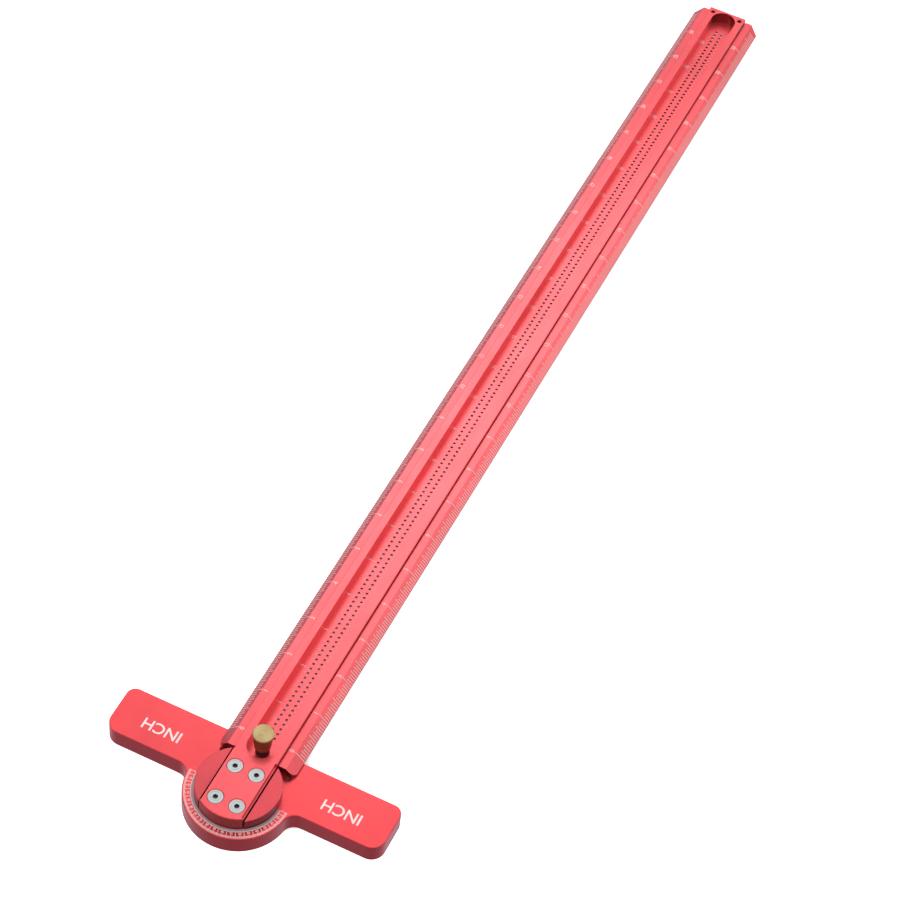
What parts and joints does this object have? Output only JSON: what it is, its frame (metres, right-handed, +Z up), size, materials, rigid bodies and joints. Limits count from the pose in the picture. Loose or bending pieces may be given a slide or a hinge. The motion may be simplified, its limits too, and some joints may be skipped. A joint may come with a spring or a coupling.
{
  "type": "adjustable t-square",
  "caption": "Layout T-square with a pivoting ruled blade: round-ended channel with marking holes, bevelled scale rails, protractor head and brass index pin.",
  "frame": {"origin": "centre of the fence face of the head, directly under the blade centreline, where both blade scales read zero", "axes": "+Y out along the blade from the fence, +Z up from the head's underside to the scales, +X to the right along the fence"},
  "size_m": [0.152, 0.6666, 0.0287],
  "materials": {
    "head_anodised": "satin red anodised",
    "turntable_anodised": "satin red anodised",
    "beam_anodised": "satin red anodised",
    "rail_anodised": "satin red anodised",
    "stainless": "bright stainless",
    "dark_steel": "blackened",
    "washer_steel": "satin",
    "bronze": "sintered bronze",
    "slip_plastic": "matt",
    "barrel_brass": "turned, dulled",
    "knob_brass": "turned, satin",
    "pin_steel": "ground",
    "ring_rubber": "matt"
  },
  "bodies": {
    "head": {"head_plate": "head_anodised", "pivot_bush": "bronze", "slip_ring": "slip_plastic"},
    "blade": {"turntable_disc": "turntable_anodised", "centre_beam": "beam_anodised", "left_scale_rail": "rail_anodised", "right_scale_rail": "rail_anodised", "clamp_screws": "stainless", "left_rail_screws": "stainless", "right_rail_screws": "stainless", "pivot_bolt": "dark_steel", "thrust_washer": "washer_steel", "wave_washer": "washer_steel", "index_barrel": "barrel_brass", "pin_ring": "ring_rubber"},
    "index": {"index_knob": "knob_brass", "index_pin": "pin_steel", "knob_grub": "dark_steel"}
  },
  "joints": [
    {"name": "blade_swing", "type": "hinge", "parent": "head", "child": "blade", "pos_m": [0, -0.0295, 0.0055], "axis": [0, 0, 1], "range_deg": [-45, 45]},
    {"name": "index_slide", "type": "slide", "parent": "blade", "child": "index", "axis": [0, 0, 1], "range_m": [-0.004, 0]}
  ]
}
